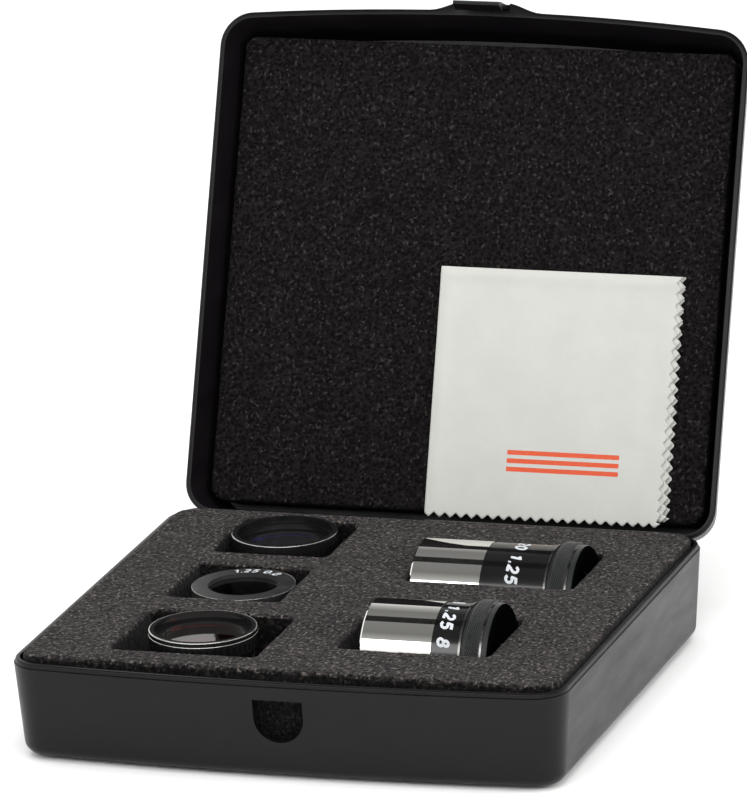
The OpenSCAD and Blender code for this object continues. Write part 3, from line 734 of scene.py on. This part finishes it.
def folded_cloth():
    """A square cloth folded twice, with its folds at the left and top and its edges pinked.

    u runs across the flat cloth and v along it, from -half to half. The first fold lies along
    v = 0 and becomes the top edge, and the second along u = 0 and becomes the left one. The
    layers differ a little in size, so their edges don't line up.
    """
    half = CLOTH_SIDE / 2
    steps = 132
    # The rows are closest together at the folds, in the middle.
    spread = np.linspace(-1, 1, 2 * steps + 1)
    dense = np.sign(spread) * np.abs(spread) ** 1.25
    tight = 0.5 * CLOTH_LAYER

    points, index = [], {}
    for j, b in enumerate(dense):
        for i, a in enumerate(dense):
            u, v = a * half, b * half
            # Pinked edges: the outer rows and columns step in by the notches.
            edge_u = max(0.0, 1 - (1 - abs(a)) / PINKED_SHARE)
            edge_v = max(0.0, 1 - (1 - abs(b)) / PINKED_SHARE)
            u -= math.copysign(edge_u * pinked(v + 0.4 * PINK_PITCH), u)
            v -= math.copysign(edge_v * pinked(u), v)
            # The first fold is tight, and the second goes round both of its layers.
            turn_v = max(-1.0, min(1.0, v / (tight * QUARTER)))
            radius = CLOTH_LAYER * (1 + 0.5 * math.sin(turn_v * QUARTER))
            turn_u = max(-1.0, min(1.0, u / (radius * QUARTER)))
            x = radius * (1 - math.cos(turn_u * QUARTER)) + max(0.0, abs(u) - radius * QUARTER)
            y = tight * (1 - math.cos(turn_v * QUARTER)) + max(0.0, abs(v) - tight * QUARTER)
            depth = 1.5 * CLOTH_LAYER - radius * math.sin(turn_u * QUARTER)
            # The layers' edges drift apart towards the open corner.
            x *= 1.011
            if u > 0:
                x *= 1 - (0.031 if v > 0 else 0.012) * (0.35 + 0.65 * abs(v) / half)
            elif v < 0:
                x *= 1 - 0.02 * abs(v) / half
            if not (u > 0 and v > 0):
                y *= 0.975
            index[i, j] = len(points)
            points.append(shaped(x, y, depth))
    faces = [
        (index[i, j], index[i + 1, j], index[i + 1, j + 1], index[i, j + 1])
        for j in range(len(dense) - 1)
        for i in range(len(dense) - 1)
    ]
    return points, faces


def shaped(x, y, depth):
    """A point of the folded cloth, in place on the foam, with its creases and soft waves.

    x and y are its distance from the folds, and depth is how far below the top layer it is.
    """
    # The cloth swells beside its two folds.
    lift = 0.45 * MM * ridge(x - 2.2 * MM, 2.4 * MM) + 0.3 * MM * ridge(y - 2 * MM, 2.2 * MM)
    # Its open corner curls up.
    lift += 0.5 * MM * max(0.0, (x + y) / CLOTH_SIDE - 0.72) / 0.28
    # A slanting crease crosses it, and soft waves run all over it.
    crease = x * 0.75 + y * 0.45 - 48 * MM
    lift += 0.28 * MM * ridge(crease, 3.2 * MM) * ridge(y - 20 * MM, 22 * MM)
    lift += 0.22 * MM * (1 + noise.noise(Vector((x / (17 * MM), y / (23 * MM), 3.1))))
    lift *= 1 - depth / (4 * CLOTH_LAYER)
    tilt = 0.006 * y
    face = LID_FOAM_FACE - CLOTH_SUNK - (3 * CLOTH_LAYER - depth) - lift
    return OPENED @ Vector((CLOTH_LOW.x + x + tilt, CLOTH_LOW.y + y, face))


cloth_points, cloth_faces = folded_cloth()
cloth = new_piece("folded_lens_cloth", cloth_points, cloth_faces, CLOTH, "cloth")
applied(cloth, [("SOLIDIFY", {"thickness": CLOTH_THICK, "offset": 0.0})])
cloth.data.polygons.foreach_set("use_smooth", [True] * len(cloth.data.polygons))
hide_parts("lens_cloth")
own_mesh(cloth)

# ---------- studio ----------

bpy.ops.mesh.primitive_plane_add(size=12, location=(0, 0, 0))
floor = bpy.context.object
floor.name = "floor"
floor_paint = Paint("floor_paper", Roughness=0.8)
floor_paint.shader.inputs["Specular IOR Level"].default_value = 0.1
mottle = floor_paint.noise(0.4, 2, 0.5)
floor_paint.colour(floor_paint.ramp(mottle, [(0.3, (0.86, 0.86, 0.86)), (0.7, (0.88, 0.88, 0.88))]))
wear(floor, floor_paint.material)


def panel(name, place, aim, size, power):
    """A soft box: a rectangular area light, size = (width, height)."""
    data = bpy.data.lights.new(name, "AREA")
    data.shape = "RECTANGLE"
    data.size, data.size_y = size
    data.energy = power
    lamp = bpy.data.objects.new(name, data)
    bpy.context.scene.collection.objects.link(lamp)
    lamp.location = place
    lamp.rotation_mode = "QUATERNION"
    lamp.rotation_quaternion = (Vector(aim) - Vector(place)).to_track_quat("-Z", "Y")
    lamp.visible_camera = False
    return lamp


panel("front_softbox", (0.1, -0.66, 0.52), (0, -0.03, 0.04), (1.3, 0.3), 4.2)
overhead = panel("overhead_fill", (0, 0.1, 2.2), (0, 0.1, 0), (2.6, 2.6), 56)
overhead.visible_glossy = False
side = panel("right_fill", (1.5, 0.1, 0.7), (0, 0, 0.05), (1.0, 0.8), 12)
side.visible_glossy = False
panel("left_key", (-0.95, -0.55, 0.95), (0, 0.03, 0.06), (0.5, 0.35), 1.2)

# A dark flag overhead, which only reflections show.
bpy.ops.mesh.primitive_plane_add(size=1, location=(0, 0.08, 1.5))
flag = bpy.context.object
flag.name = "overhead_flag"
flag.scale = (4, 0.36, 1)
wear(flag, FLAG_BLACK)
flag.visible_camera = flag.visible_diffuse = flag.visible_shadow = flag.visible_transmission = False

# The studio is white round the horizon and dim overhead.
world = bpy.data.worlds.new("studio")
world.use_nodes = True
sky = world.node_tree
direction = sky.nodes.new("ShaderNodeSeparateXYZ")
sky.links.new(sky.nodes.new("ShaderNodeTexCoord").outputs["Generated"], direction.inputs["Vector"])
dome = sky.nodes.new("ShaderNodeValToRGB")
HEIGHTS = ((0.0, 1.25), (0.45, 1.0), (0.7, 0.45), (0.84, 0.2), (1.0, 0.24))
for at, grey in HEIGHTS[1:-1]:
    dome.color_ramp.elements.new(at)
for stop, (at, grey) in zip(dome.color_ramp.elements, HEIGHTS):
    stop.color = (grey, grey, grey * 0.98, 1)
sky.links.new(direction.outputs["Z"], dome.inputs["Fac"])
sky.links.new(dome.outputs["Color"], sky.nodes["Background"].inputs["Color"])
bpy.context.scene.world = world
bpy.context.scene.view_settings.view_transform = "Standard"

# Camera at the photograph's angle.
YAW, PITCH, ROLL = math.radians(18.54), math.radians(16.45), math.radians(-2.53)
back = Vector((math.sin(YAW) * math.cos(PITCH), -math.cos(YAW) * math.cos(PITCH), math.sin(PITCH)))
right = Vector((math.cos(YAW), math.sin(YAW), 0))
up = back.cross(right)
right, up = (
    right * math.cos(ROLL) + up * math.sin(ROLL),
    up * math.cos(ROLL) - right * math.sin(ROLL),
)
camera_data = bpy.data.cameras.new("camera")
camera_data.lens = 417.2
camera_data.sensor_width = 36
camera_data.shift_x, camera_data.shift_y = 0.01704, 0.00796
camera_data.clip_start, camera_data.clip_end = 0.1, 50
camera = bpy.data.objects.new("camera", camera_data)
camera.matrix_world = Matrix.Translation(Vector((0.81251, -2.41656, 0.84013))) @ Matrix(
    (right, up, back)
).transposed().to_4x4()
bpy.context.scene.collection.objects.link(camera)
bpy.context.scene.camera = camera
